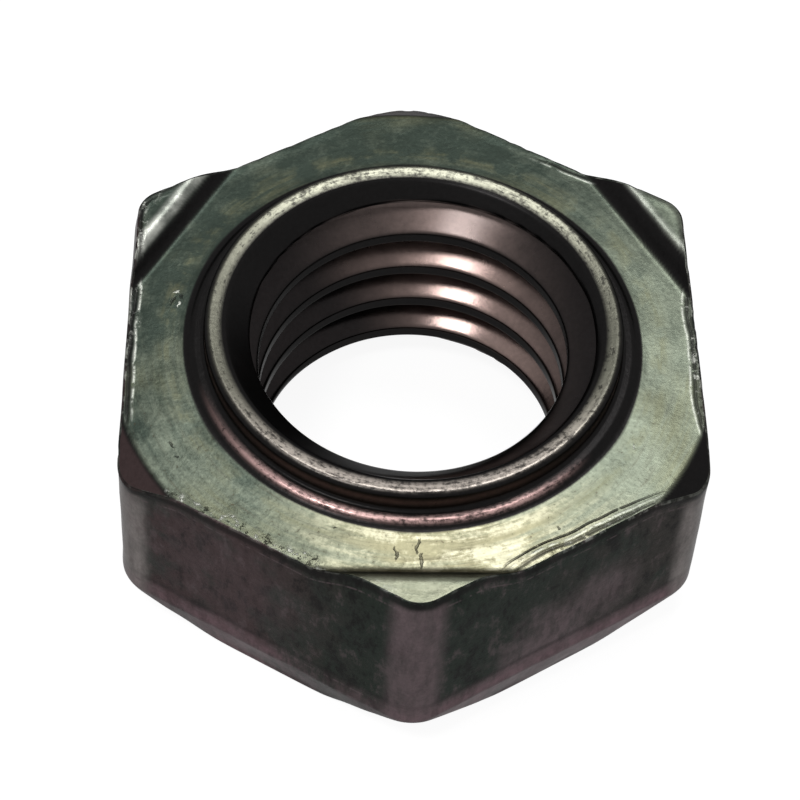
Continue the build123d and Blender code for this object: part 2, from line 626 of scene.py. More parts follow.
    def build(self) -> bpy.types.Object:
        """Makes the mesh: rows and columns both close on themselves, so the skin has no border.

        Returns:
            The nut, with the finish's zones as vertex attributes.
        """
        wear = Wear(self)
        smooth = self.skin()
        skin = wear.forge(smooth)
        points = np.stack([skin.x, skin.y, skin.height], axis=-1).reshape(-1, 3) * MM
        count_rows, count_columns = skin.radius.shape
        row, column = np.indices(skin.radius.shape)
        next_row, next_column = (row + 1) % count_rows, (column + 1) % count_columns
        corners = [(row, column), (next_row, column), (next_row, next_column), (row, next_column)]
        quads = np.stack([(r * count_columns + c).ravel() for r, c in corners], axis=-1)
        mesh = bpy.data.meshes.new("forged_weld_nut")
        mesh.from_pydata(points, [], quads)
        mesh.update()
        mesh.shade_smooth()
        for zone, strength in wear.zones(smooth).items():
            attribute = mesh.attributes.new(zone.value, "FLOAT", "POINT")
            attribute.data.foreach_set("value", strength.ravel().astype(np.float32))
        nut = placed("forged_weld_nut", mesh)
        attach(nut, "root")
        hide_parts("weld_nut")
        return nut


@dataclass
class Wear:
    """What forging and handling did to the skin, with painted shade and highlights among it: film and
    painted shade, rubbed places, burrs, shallow waves and dents.
    """

    nut: WeldNut
    forging_waves: Waves = field(default_factory=lambda: Waves(3, 1.2, 8.0))
    rim_waves: Waves = field(default_factory=lambda: Waves(11, 0.35, 1.4))
    side_sink: float = 0.014
    face_sink: float = 0.007
    dent_inwards: float = 0.045
    dent_downwards: float = 0.035
    dent_reach: float = 0.16
    far_from_rim: float = 3.0
    land_middle: float = 0.33  # from the collar's wall inwards, of the rubbed land
    land_half_width: float = 0.18
    step_highlight_half_width: float = 0.07  # of the painted highlight on the edge of the collar's step
    step_highlight_direction: float = 258.0  # in degrees, where that painted highlight is strongest
    steep: Span = (0.12, 0.55)  # how steep the face is where its film begins, and where it is full
    foot_band: Span = (2.4, 1.75)
    corner_band: Span = (0.105, 0.055)  # in radians from the corner
    below_rim: Span = (0.15, 0.4)
    outer_face: Span = (7.3, 7.7)
    crest_line: Span = (0.04, 0.25)  # outside the crest's chord: middle and half width
    # Stretches of the rim, in degrees
    burrs: Stretches = ((176.0, 24.0, 1.0), (304.0, 17.0, 0.55), (357.0, 22.0, 0.7), (50.0, 10.0, 0.6))
    crumbled: Stretches = ((236.0, 24.0, 1.0), (306.0, 12.0, 0.3), (352.0, 26.0, 0.5), (165.0, 16.0, 0.6))

    def from_rim(self, skin: Skin) -> Array:
        """Distance from the rim's sharp edge in millimetres, negative on the side and far elsewhere."""
        edge_radius, edge_height = self.nut.body.edge(skin.angle)
        away = np.hypot(edge_radius - skin.radius, edge_height - skin.height)
        return np.select([skin.on(Region.FACE), skin.on(Region.SIDE)], [away, -away], self.far_from_rim)

    def film_and_shade(self, skin: Skin) -> Array:
        """How dark the film stays, oxide in part and painted shade in part: full on steep places that no die
        or tool has rubbed.

        The collar has lost it on its land, and at the front the edge of its step is left bare as a painted
        highlight. The welding face keeps it as painted shade in the groove at the step and on the
        projections' slopes, and the bore keeps it as painted shade in its countersinks.

        Args:
            skin: The nut's surface.

        Returns:
            The strength of the film and painted shade, from 0 to 1.
        """
        nut = self.nut
        from_wall = skin.radius - nut.collar_radius
        high = skin.height > nut.body.height + nut.collar.height / 2
        land = bell(from_wall + self.land_middle, self.land_half_width, 4) * high
        # Painted highlight: at the front the film is taken off the edge of the collar's step, so the pink of
        # the ledge shows there.
        front = smooth_step(0.45, 0.9, np.cos(skin.angle - math.radians(self.step_highlight_direction)))
        step = bell(from_wall - nut.collar.ledge_width, self.step_highlight_half_width) * front
        on_collar = 1 - np.maximum(land, step)
        run, rise = np.gradient(skin.radius, axis=0), np.gradient(skin.height, axis=0)
        steepness = np.abs(rise) / np.maximum(np.hypot(run, rise), 1e-6)
        # The film on the slopes is painted shade; at the front it is kept to a thinner line.
        foremost = smooth_step(0.8, 0.95, np.cos(skin.angle + math.pi / 2))
        on_face = smooth_step(self.steep[0] + 0.5 * foremost, self.steep[1] + 0.2 * foremost, steepness)
        on_face[np.flatnonzero(skin.region == Region.FACE)[0]] = 1.0
        # Painted shade in the countersinks at both mouths.
        cone = nut.mouth_radius - np.minimum(skin.height, nut.mouth_height - skin.height)
        in_bore = smooth_step(-0.02, 0.08, cone - nut.thread.radius(skin.angle, skin.height))
        rows = [skin.on(Region.COLLAR), skin.on(Region.FACE), skin.on(Region.BORE, Region.LIP, Region.HEM)]
        return np.select(rows, [on_collar, on_face, in_bore], 0.0)

    def worn_and_sheen(self, skin: Skin) -> Array:
        """Strength of the bright line along each projection's crest: rubbed by the punch, and in part a
        painted highlight on the crest's rounding.

        Args:
            skin: The nut's surface.

        Returns:
            The strength, a flat-topped bell across the line.
        """
        body = self.nut.body
        middle, half_width = self.crest_line
        across = skin.radius * np.cos(body.from_projection(skin.angle)) - body.crest_distance
        high = smooth_step(0.3, 0.5, skin.height - body.height)
        return high * bell(across - middle, half_width, 4) * skin.on(Region.FACE)

    def along_rim(self, skin: Skin, stretches: Stretches) -> Array:
        """Strength of what runs along the rim: the sum of a flat-topped bell over the angle per stretch.

        Args:
            skin: The nut's surface.
            stretches: Where it runs, in degrees, and how strongly.

        Returns:
            The strength, from 0 to 1.
        """
        total = np.zeros_like(skin.radius)
        for middle, half_width, strength in stretches:
            away = np.degrees(from_nearest(skin.angle - math.radians(middle), 2 * math.pi))
            total += strength * bell(away, half_width, 4)
        return np.clip(total, 0.0, 1.0)

    def zones(self, skin: Skin) -> dict[Zone, Array]:
        """Strength of each zone of the finish, from 0 to 1, and the distance from the rim.

        Args:
            skin: The nut's surface.

        Returns:
            One array per zone, shaped like the radii.
        """
        every = np.ones_like(skin.radius)
        side = skin.on(Region.SIDE)
        in_bore = skin.on(Region.BORE, Region.LIP, Region.HEM)
        rim, worn_and_sheen, thread = self.from_rim(skin), self.worn_and_sheen(skin), self.nut.thread
        from_crest = np.abs(thread.turn(skin.angle, skin.height)) * thread.pitch - thread.half_crest
        corner = smooth_step(*self.corner_band, np.abs(from_nearest(skin.angle + SIXTH / 2, SIXTH)))
        on_left = smooth_step(0.0, -0.5, np.cos(skin.angle))
        return {
            Zone.FACE: skin.on(Region.FACE) * every,
            # On the left the film is also taken off the crest line, a painted highlight there.
            Zone.FILM_AND_SHADE: self.film_and_shade(skin) * (1 - 0.85 * worn_and_sheen * on_left),
            Zone.BORE: in_bore * every,
            # Painted shade: the crests and a strip past their edges are made black for the shadow along
            # them.
            Zone.CREST_SHADE: in_bore * (1 - smooth_step(-0.06, 0.08, from_crest)),
            Zone.WORN_AND_SHEEN: worn_and_sheen,
            Zone.COLLAR: skin.on(Region.COLLAR) * every,
            Zone.FOOT: side * smooth_step(*self.foot_band, skin.height),
            Zone.CORNER: side * corner * smooth_step(*self.below_rim, -rim),
            Zone.RIM: np.clip(rim, -self.far_from_rim, self.far_from_rim),
            Zone.BURR: self.along_rim(skin, self.burrs),
            Zone.CRUMBLE: self.along_rim(skin, self.crumbled),
        }

    def forge(self, skin: Skin) -> Skin:
        """Sinks the side and the welding face by slow waves, and dents the rim, always inwards.

        The slow waves count from -1.5 upwards, and the quick ones, which dent the rim, from 0.55 upwards.

        Args:
            skin: The nut's smooth surface.

        Returns:
            The uneven surface.
        """
        slow = np.clip(self.forging_waves.at(skin.x, skin.y, skin.height) + 1.5, 0.0, 3.0)
        quick = np.clip(self.rim_waves.at(skin.x, skin.y, skin.height) - 0.55, 0.0, 1.6)
        rim = self.from_rim(skin)
        side = skin.on(Region.SIDE) * smooth_step(0.0, 0.5, -rim) * smooth_step(0.0, 0.4, skin.height)
        face = skin.on(Region.FACE) * smooth_step(0.0, 0.5, rim) * smooth_step(*self.outer_face, skin.radius)
        dent = quick * bell(rim, self.dent_reach) * (0.3 + 0.7 * self.along_rim(skin, self.crumbled))
        return replace(
            skin,
            radius=skin.radius - self.side_sink * slow * side - self.dent_inwards * dent,
            height=skin.height - self.face_sink * slow * face - self.dent_downwards * dent,
        )


@dataclass(frozen=True)
class Wire:
    """One output socket of a node, with arithmetic that adds Math nodes."""

    shader: "Shader"
    node: Any
    output: Any = 0

    def at(self, output: Any) -> "Wire":
        """Another output of the same node."""
        return Wire(self.shader, self.node, output)

    def __add__(self, other: Any) -> "Wire":
        """Sum."""
        return self.shader.math("ADD", self, other)

    def __sub__(self, other: Any) -> "Wire":
        """Difference."""
        return self.shader.math("SUBTRACT", self, other)

    def __mul__(self, other: Any) -> "Wire":
        """Product."""
        return self.shader.math("MULTIPLY", self, other)

    def __truediv__(self, other: Any) -> "Wire":
        """Quotient."""
        return self.shader.math("DIVIDE", self, other)

    def __rsub__(self, other: Any) -> "Wire":
        """A number less this value."""
        return self.shader.math("SUBTRACT", other, self)

    def __or__(self, other: Any) -> "Wire":
        """The greater of two values."""
        return self.shader.math("MAXIMUM", self, other)

    def __abs__(self) -> "Wire":
        """The value without its sign."""
        return self.shader.math("ABSOLUTE", self)

    __radd__ = __add__
    __rmul__ = __mul__

    def band(self, low: float, high: float) -> "Wire":
        """A smooth step from 0 at low to 1 at high; with low above high it falls.

        Args:
            low: Value that gives 0.
            high: Value that gives 1.

        Returns:
            The step.
        """
        if low > high:
            return 1.0 - self.band(high, low)
        limits = {"Value": self, "From Min": low, "From Max": high}
        return self.shader.node("ShaderNodeMapRange", {"interpolation_type": "SMOOTHSTEP"}, limits)

    def ridge(self, middle: float, half_width: float) -> "Wire":
        """1 at the middle, falling smoothly to 0 at the half width on both sides."""
        return abs(self - middle).band(half_width, 0.0)


class Shader:
    """Makes the nodes of one material or world."""

    def __init__(self, owner: bpy.types.Material | bpy.types.World) -> None:
        """Empties the owner's node tree."""
        owner.use_nodes = True
        self.tree = owner.node_tree
        self.tree.nodes.clear()

    def node(self, kind: str, settings: Settings = None, inputs: Settings = None, output: Any = 0) -> Wire:
        """Adds a node, sets its settings and then its sockets.

        Args:
            kind: The node's type.
            settings: The node's own properties, set first.
            inputs: Wires or constants by socket name or number.
            output: Name or number of the output that is wanted.

        Returns:
            The wire from that output.
        """
        made = self.tree.nodes.new(kind)
        for key, value in (settings or {}).items():
            setattr(made, key, value)
        for key, value in (inputs or {}).items():
            if isinstance(value, Wire):
                self.tree.links.new(value.node.outputs[value.output], made.inputs[key])
            else:
                made.inputs[key].default_value = value
        return Wire(self, made, output)

    def math(self, operation: str, *values: Any) -> Wire:
        """A Math node on wires or numbers."""
        return self.node("ShaderNodeMath", {"operation": operation}, dict(enumerate(values)))

    def vector(self, operation: str, first: Any, second: Any, output: Any = 0) -> Wire:
        """A Vector Math node on two vectors."""
        return self.node("ShaderNodeVectorMath", {"operation": operation}, {0: first, 1: second}, output)

    def attribute(self, zone: Zone) -> Wire:
        """The value of one of the nut's vertex attributes."""
        return self.node("ShaderNodeAttribute", {"attribute_name": zone.value}, None, "Fac")

    def greatest(self, values: Iterable[Wire]) -> Wire:
        """The greatest of several values."""
        return functools.reduce(lambda a, b: a | b, values)

    def noise(self, vector: Wire, scale: float, detail: float, roughness: float) -> Wire:
        """Smooth noise of about 0 to 1, with the scale in cells per unit of the vector."""
        inputs = {"Vector": vector, "Scale": scale, "Detail": detail, "Roughness": roughness}
        return self.node("ShaderNodeTexNoise", None, inputs, "Fac")

    def stretched(self, vector: Wire, parts: Triple, scale: float, detail: float, roughness: float) -> Wire:
        """Smooth noise that has its own number of cells along each part of the vector."""
        return self.noise(self.vector("MULTIPLY", vector, parts), scale, detail, roughness)

    def mix(self, share: Any, first: Any, second: Any, blend: str = "MIX") -> Wire:
        """A colour between two colours."""
        settings = {"data_type": "RGBA", "blend_type": blend, "clamp_factor": True}
        return self.node("ShaderNodeMix", settings, {0: share, 6: first, 7: second}, 2)

    def layers(self, base: Any, *layers: tuple[Wire, Any]) -> Wire:
        """A base colour with other colours laid over it in turn, each with its own share."""
        return functools.reduce(lambda below, layer: self.mix(layer[0], below, layer[1]), layers, base)


@dataclass(frozen=True)
class Surroundings:
    """Fields that every part of the finish reads: places in millimetres, zones and noises."""

    shader: Shader
    place: Wire
    x: Wire
    y: Wire
    z: Wire
    radius: Wire
    polar: Wire
    zone: dict[Zone, Wire]
    broad: Wire
    cloudy: Wire
    fine: Wire


@dataclass(frozen=True)
class Scratch:
    """A short mark in the welding face: its middle, its direction, its half length and half width."""

    x: float
    y: float
    direction: float
    half_length: float
    half_width: float

    def mask(self, s: Shader, place: Wire) -> Wire:
        """Strength of the mark, from the distances along and across it, each over its half size.

        Args:
            s: The material's node maker.
            place: Object coordinates in millimetres, bent a little.

        Returns:
            1 at the middle, falling smoothly to 0 where the distances' squares add up to 1.
        """
        cosine, sine = math.cos(math.radians(self.direction)), math.sin(math.radians(self.direction))
        moved = s.vector("SUBTRACT", place, (self.x, self.y, 0))
        along = s.vector("DOT_PRODUCT", moved, (cosine, sine, 0), "Value") / self.half_length
        across = s.vector("DOT_PRODUCT", moved, (-sine, cosine, 0), "Value") / self.half_width
        return (along * along + across * across).band(1.0, 0.0)


@dataclass(frozen=True)
class WornPatch:
    """A place on the flats where the oxide is rubbed thin: its middle, its reach and its strength."""

    middle: Triple
    reach: float
    strength: float

    def mask(self, on: Surroundings) -> Wire:
        """A soft ball round the middle, frayed by noise."""
        away = on.shader.vector("DISTANCE", on.place, self.middle, "Value")
        return (away / self.reach + (on.cloudy - 0.5) * 1.3).band(1.15, 0.15) * self.strength


@dataclass(frozen=True)
class ForgedSteel:
    """Cold-forged steel under a thin dark oxide film, rubbed bright where the dies pressed it, with painted
    light and shade in its colours.
    """

    side_green: Colour = (0.017, 0.022, 0.018, 1)
    side_brown: Colour = (0.040, 0.027, 0.027, 1)
    side_worn: Colour = (0.090, 0.068, 0.072, 1)
    corner_worn: Colour = (0.165, 0.148, 0.142, 1)
    foot_pink: Colour = (0.140, 0.090, 0.101, 1)
    # Dull and pale face colours: the pale one is laid on as painted light towards the front.
    face_dull_shaded: Colour = (0.026, 0.035, 0.028, 1)
    face_pale_lit: Colour = (0.120, 0.136, 0.104, 1)
    face_olive: Colour = (0.085, 0.086, 0.050, 1)
    face_straw: Colour = (0.150, 0.142, 0.088, 1)
    face_cream: Colour = (0.320, 0.310, 0.222, 1)
    # Painted shade on the front projection's crest.
    crest_dull_shaded: Colour = (0.112, 0.122, 0.092, 1)
    dirt: Colour = (0.052, 0.045, 0.030, 1)
    # Bare steel of burrs and nicks, also laid on the projections' crests as a painted highlight.
    bare: Colour = (0.42, 0.43, 0.39, 1)
    # Black of the oxide film and the cracks, also used as painted shade on the collar, the face's slopes,
    # the countersinks and the thread's crests.
    film_and_shade: Colour = (0.0085, 0.0080, 0.0080, 1)
    # Pink of the flanks, made a little brighter as painted light in the lit band.
    flank: Colour = (0.175, 0.122, 0.108, 1)
    # Painted shade on the flanks outside the lit band.
    flank_shaded: Colour = (0.014, 0.012, 0.012, 1)
    land_front: Colour = (0.360, 0.320, 0.285, 1)
    land_back: Colour = (0.185, 0.185, 0.145, 1)
    # Pink of the ledge, seen only where the edge of the step carries the painted highlight.
    ledge: Colour = (0.520, 0.340, 0.320, 1)
    wall: Colour = (0.170, 0.130, 0.110, 1)
    scratches: tuple[Scratch, ...] = (
        Scratch(-0.68, -8.22, 97.0, 0.26, 0.060),
        Scratch(0.00, -7.95, 78.0, 0.36, 0.065),
        Scratch(0.10, -8.50, 94.0, 0.36, 0.055),
        Scratch(-2.52, -7.31, 20.0, 0.07, 0.050),
        Scratch(4.34, -7.27, 50.0, 0.07, 0.060),
        Scratch(-7.61, -4.33, 120.0, 0.15, 0.050),
        Scratch(-7.50, -4.75, 40.0, 0.09, 0.040),
        Scratch(-7.86, 1.45, 65.0, 0.26, 0.080),
        Scratch(-7.60, 1.62, 120.0, 0.16, 0.055),
    )
    nicks: tuple[Scratch, ...] = (
        Scratch(-7.76, 1.78, 25.0, 0.18, 0.045),
        Scratch(-7.66, 1.28, 75.0, 0.12, 0.040),
        Scratch(6.90, -4.20, 100.0, 0.11, 0.028),
    )
    worn_patches: tuple[WornPatch, ...] = (
        WornPatch((4.4, -8.4, 2.9), 2.3, 1.0),
        WornPatch((6.0, -7.5, 3.9), 1.8, 0.8),
        WornPatch((-6.0, -7.4, 4.8), 4.0, 0.3),
        WornPatch((9.5, 1.5, 3.5), 3.0, 0.7),
        WornPatch((-9.5, -2.5, 3.0), 3.0, 0.6),
        WornPatch((-3.0, 9.0, 4.0), 3.4, 0.7),
    )
    scored_lines: tuple[Span, ...] = ((1.50, 0.12), (2.05, 0.08))  # height and half width
    soot_line: Span = (2.36, 0.22)  # over the foot: height and half width
    metallic: float = 0.92
    edge_tint: float = 0.5  # how much of its mirroring the metal keeps at a low angle
    mean_roughness: float = 0.34
    oil_coat: float = 0.35
    oil_roughness: float = 0.2
    grain_height: float = 0.0065
    swell_height: float = 0.010
    burr_height: float = 0.011
    crack_depth: float = 0.02

    def surroundings(self, s: Shader) -> Surroundings:
        """Makes the shared fields.

        Args:
            s: The material's node maker.

        Returns:
            Object coordinates in millimetres, the direction from the axis with the radius as its third part,
            the zones, and noises with cells of about 4.5, 1.1 and 0.15 mm.
        """
        coordinates = s.node("ShaderNodeTexCoord", output="Object")
        millimetres = {0: coordinates, "Scale": 1 / MM}
        place = s.node("ShaderNodeVectorMath", {"operation": "SCALE"}, millimetres)
        x = s.node("ShaderNodeSeparateXYZ", None, {0: place})
        y, z = x.at(1), x.at(2)
        radius = s.math("SQRT", x * x + y * y)
        return Surroundings(
            s,
            place,
            x,
            y,
            z,
            radius,
            polar=s.node("ShaderNodeCombineXYZ", None, {0: x / radius, 1: y / radius, 2: radius}),
            zone={zone: s.attribute(zone) for zone in Zone},
            broad=s.noise(place, 0.22, 2.0, 0.5),
            cloudy=s.noise(place, 0.9, 4.0, 0.6),
            fine=s.noise(place, 6.5, 3.0, 0.65),
        )

    def marks(self, on: Surroundings, which: tuple[Scratch, ...]) -> Wire:
        """All the marks of one kind, with edges bent by noise.

        Args:
            on: Shared fields.
            which: The marks.

        Returns:
            Their strength, from 0 to 1.
        """
        s = on.shader
        bend = s.noise(on.place, 4.0, 2.0, 0.5).at("Color")
        shift = s.vector("MULTIPLY", s.vector("SUBTRACT", bend, (0.5, 0.5, 0.5)), (0.3, 0.3, 0.0))
        bent = s.vector("ADD", on.place, shift)
        return s.greatest(mark.mask(s, bent) for mark in which) * on.zone[Zone.FACE]

    def side(self, on: Surroundings) -> Wire:
        """Colour of the side: dark green to brown, with worn patches, corners and lines and a pale foot.

        Args:
            on: Shared fields.

        Returns:
            The colour.
        """
        s, rim, corner = on.shader, on.zone[Zone.RIM], on.zone[Zone.CORNER]
        sideways = abs(on.x)
        streaks = s.stretched(on.place, (1.0, 1.0, 0.3), 3.0, 4.0, 0.7)
        blotches = s.stretched(on.place, (1.0, 1.0, 0.5), 1.4, 6.0, 0.75)
        reddened = on.x.band(-1.0, -5.5) | sideways.band(2.0, 7.5) * 0.4
        brown = (0.6 * on.cloudy + 0.4 * on.broad).band(0.40, 0.56) * reddened
        patches = s.greatest(patch.mask(on) for patch in self.worn_patches)
        rubbed = on.broad.band(0.35, 0.6) * 0.5 + streaks.band(0.35, 0.65) * 0.5
        between_corners = 1.0 - 0.6 * corner
        band = on.zone[Zone.FOOT] * (0.15 + 0.75 * rubbed) * between_corners
        lines = s.greatest(on.z.ridge(*line) for line in self.scored_lines) | rim.ridge(-0.50, 0.06)
        worn_corner = s.mix(sideways.band(6.0, 9.0), self.side_worn, self.corner_worn)
        sooty = on.z.ridge(*self.soot_line) * streaks * between_corners
        # Painted shade along the rounded shoulder under the rim.
        shoulder = rim.band(-0.42, -0.2) * rim.band(0.0, -0.08)
        return s.layers(
            self.side_green,
            (brown, self.side_brown),
            (blotches.band(0.52, 0.68) * 0.5, self.side_worn),
            (blotches.band(0.50, 0.37) * 0.8, self.film_and_shade),
            (patches * (0.45 + 0.6 * streaks.band(0.3, 0.62)), self.side_worn),
            (corner * (0.1 + 1.5 * streaks), worn_corner),
            (band * (1.0 - 0.5 * on.x.ridge(-2.3, 2.6)), self.foot_pink),
            (lines * streaks.band(0.42, 0.58) * 0.6, self.side_worn),
            (sooty * 0.8, self.film_and_shade),
            (shoulder * 0.7, self.film_and_shade),
        )

    def face(self, on: Surroundings) -> Wire:
        """Colour of the welding face: dull green at the back to pale straw in front, with painted light
        making the front and the left front lighter, ringed and cloudy.

        Args:
            on: Shared fields.

        Returns:
            The colour.
        """
        s = on.shader
        frontwards = 0.0 - on.y
        rings = s.stretched(on.polar, (1.6, 1.6, 2.4), 1.0, 4.0, 0.65)
        lines = s.stretched(on.polar, (4.5, 4.5, 6.0), 1.0, 3.0, 0.65)
        left = on.x.band(-5.5, -8.0) * frontwards.band(-2.5, 1.0)
        # Painted light: the face gets lighter towards the front and the left front.
        forward = (0.95 * on.x + frontwards + 4.5 * left + 8.0 * (rings - 0.5)).band(-8.0, 11.5)
        mottle = 0.25 * rings + 0.45 * on.cloudy + 0.1 * lines + 0.2 * on.fine
        contrast = 1.8 + 0.8 * frontwards.band(-6.0, 4.0)
        olive = on.broad.band(0.5, 0.64) | on.radius.ridge(8.0, 0.5) * on.cloudy.band(0.42, 0.58)
        # Straw and cream, brightest at the front: a tint, and in part painted light.
        straw = frontwards.band(4.6, 8.0) * on.x.ridge(1.4, 7.0) * (0.45 + 0.9 * rings.band(0.35, 0.6))
        cream = straw * (0.5 * on.cloudy + 0.3 * lines + 0.2 * on.fine).band(0.46, 0.58)
        specks = lines.band(0.46, 0.28) * 0.5 | on.fine.band(0.36, 0.27)
        # Painted shade: the front projection's crest is dulled where the back lamp would light it.
        front_crest_shade = on.z.band(7.75, 8.1) * frontwards.band(5.0, 8.0)
        outside = on.zone[Zone.RIM].band(0.30, 0.12) * abs(on.x).band(7.0, 8.5)
        # The rubbed crest line is in part a painted highlight, stronger on the left.
        rubbed = on.zone[Zone.WORN_AND_SHEEN] * (0.25 + on.cloudy.band(0.3, 0.6) * 0.6) * (1.0 - front_crest_shade)
        return s.layers(
            self.face_dull_shaded,
            (forward * 0.95 + (mottle - 0.5) * contrast, self.face_pale_lit),
            (olive * lines.band(0.25, 0.65) * 0.6, self.face_olive),
            (straw, self.face_straw),
            (cream * (1.0 - on.radius.ridge(8.05, 0.25)) * 0.85, self.face_cream),
            (frontwards.band(-2.0, 7.0) * specks * 0.8, self.dirt),
            (front_crest_shade * 0.75, self.crest_dull_shaded),
            (outside * 0.65, self.film_and_shade),
            (rubbed * (1.0 - 0.5 * on.x.band(-1.0, 2.0)), self.bare),
        )

    def painted_lit_band(self, on: Surroundings) -> Wire:
        """Where the thread's flanks get painted light rather than painted shade: a broad band, leaning over
        the height.
        """
        return (on.x + 0.5 * on.z).ridge(4.3, 5.4) * (0.8 + 0.9 * (on.cloudy - 0.35))

    def bore(self, on: Surroundings, painted_lit_band: Wire) -> Wire:
        """Colour of the thread: pinkish flanks with painted light on a broad band, painted shade at both
        sides and at the top, and painted shade on the crests.
        """
        # Painted shade on the top turn, under the countersink.
        bright = painted_lit_band * (1.0 - 0.6 * on.z.band(5.9, 6.9))
        return on.shader.layers(self.flank_shaded, (bright, self.flank), (on.zone[Zone.CREST_SHADE], self.film_and_shade))

    def ring(self, on: Surroundings) -> Wire:
        """Colour of the collar's land and of the step round its foot.

        Args:
            on: Shared fields.

        Returns:
            The colour.
        """
        s = on.shader
        rubbed = s.stretched(on.polar, (9.0, 9.0, 9.0), 1.0, 4.0, 0.7)
        # Darker towards the left and right of the land, with dark specks.
        beside = on.x.band(4.5, 6.6) * 0.7 | on.x.band(-3.0, -6.4) * 0.65
        specks_and_dark_sides = (0.55 * rubbed + 0.45 * on.fine).band(0.56, 0.38) | beside
        return s.layers(
            self.land_front,
            (on.y.band(-6.4, -1.5), self.land_back),
            (on.z.band(8.0, 7.85), self.ledge),
            (specks_and_dark_sides * 0.85, self.film_and_shade),
        )

    def burrs(self, on: Surroundings) -> tuple[Wire, Wire]:
        """The rim's bright burr with the dark crack beside it, and the crumbled stretches.

        Args:
            on: Shared fields.

        Returns:
            How bright and how dark each place is, from 0 to 1.
        """
        s = on.shader
        rim, burr = on.zone[Zone.RIM], on.zone[Zone.BURR]
        face = on.zone[Zone.FACE] * (1.0 - on.zone[Zone.FILM_AND_SHADE])
        flecks = s.noise(on.place, 2.2, 3.0, 0.6)
        grit = s.noise(on.place, 2.4, 5.0, 0.8)
        wander = rim + (s.noise(on.place, 0.35, 2.0, 0.5) - 0.5) * 0.5
        crumbled = on.zone[Zone.CRUMBLE] * face * (rim + (flecks - 0.5)).band(0.46, 0.2)
        line = wander.ridge(0.34, 0.075) * burr * face * flecks.band(0.36, 0.58) * 0.85
        edge = rim.ridge(0.0, 0.10) * (0.12 + 0.6 * burr) * flecks.band(0.47, 0.62)
        second = wander.ridge(0.50, 0.055) * on.y.band(-4.0, -5.5) * on.x.band(0.0, 1.0)
        crack = (wander.ridge(0.20, 0.10) | second) * burr.band(0.0, 0.5) * face * flecks.band(0.75, 0.6)
        return line | crumbled * grit.band(0.53, 0.62) | edge, crack | crumbled * grit.band(0.44, 0.36)

    def steep(self, on: Surroundings) -> Wire:
        """Colour of the film and painted shade on steep places: black, but brown on the left chamfer and the
        collar's wall.
        """
        chamfer = on.zone[Zone.FACE] * on.z.band(7.62, 7.52) * on.x.band(3.0, -5.0)
        wall = on.zone[Zone.COLLAR] * on.z.ridge(8.15, 0.3)
        return on.shader.layers(self.film_and_shade, (chamfer, self.side_brown), (wall, self.wall))

    def colour(self, on: Surroundings, painted_lit_band: Wire, bright: Wire, dark: Wire) -> Wire:
        """Base colour of the whole nut, zone over zone, with a fine grain.

        Args:
            on: Shared fields.
            painted_lit_band: Where the thread's flanks get painted light rather than painted shade.
            bright: Burrs and nicks.
            dark: Cracks and scratches.

        Returns:
            The colour.
        """
        s, zone = on.shader, on.zone
        colour = s.layers(
            self.side(on),
            (zone[Zone.FACE], self.face(on)),
            (zone[Zone.COLLAR], self.ring(on)),
            (zone[Zone.BORE], self.bore(on, painted_lit_band)),
            (zone[Zone.FILM_AND_SHADE], self.steep(on)),
            (dark * 0.8, self.film_and_shade),
            (bright * 0.85, self.bare),
        )
        grain = s.node("ShaderNodeCombineColor", None, {0: on.fine, 1: on.fine, 2: on.fine})
        return s.mix(0.3, colour, grain, "OVERLAY")

    def relief(self, on: Surroundings, bright: Wire, dark: Wire) -> Wire:
        """Height of the small relief in millimetres: grain, burrs and scratches."""
        calm = 1.0 - 0.75 * on.zone[Zone.BORE]
        grain = (on.fine * self.grain_height + on.cloudy * self.swell_height) * calm
        return grain + bright * self.burr_height - dark * self.crack_depth

    def roughness(self, on: Surroundings) -> Wire:
        """Roughness: cloudy, lower on the collar, and lowest deep in the bore."""
        in_bore = on.zone[Zone.BORE] * (0.21 - 0.022 * on.z)
        return self.mean_roughness + 0.16 * (on.cloudy - 0.5) - in_bore - 0.04 * on.zone[Zone.COLLAR]

    def material(self) -> bpy.types.Material:
        """Makes the material.

        Returns:
            The nut's material.
        """
        steel = bpy.data.materials.new("forged_steel")
        s = Shader(steel)
        on = self.surroundings(s)
        painted_lit_band = self.painted_lit_band(on)
        bright, dark = self.burrs(on)
        bright = bright | self.marks(on, self.nicks) * 0.7
        dark = dark | self.marks(on, self.scratches) * 0.75
        height = self.relief(on, bright, dark)
        flanks = on.zone[Zone.BORE] * (1.0 - on.zone[Zone.FILM_AND_SHADE]) * (1.0 - on.zone[Zone.CREST_SHADE])
        inputs = {
            "Base Color": self.colour(on, painted_lit_band, bright, dark),
            "Metallic": self.metallic,
            "Roughness": self.roughness(on),
            "Specular Tint": grey(self.edge_tint),
            "Normal": s.node("ShaderNodeBump", None, {"Strength": 1.0, "Distance": MM, "Height": height}),
            "Coat Weight": flanks * painted_lit_band * self.oil_coat,
            "Coat Roughness": self.oil_roughness,
        }
        surface = s.node("ShaderNodeBsdfPrincipled", None, inputs)
        s.node("ShaderNodeOutputMaterial", None, {"Surface": surface})
        return steel


@dataclass(frozen=True)
class Lamp:
    """A round soft lamp that faces the nut."""

    name: str
    place: Triple
    diameter: float
    power: float

    def hang(self) -> None:
        """Adds the lamp."""
        data = bpy.data.lights.new(self.name, "AREA")
        data.shape, data.size, data.energy = "DISK", self.diameter * MM, self.power
        lamp = placed(self.name, data)
        lamp.location = Vector(self.place) * MM
        lamp.rotation_euler = Vector(self.place).to_track_quat("Z", "Y").to_euler()


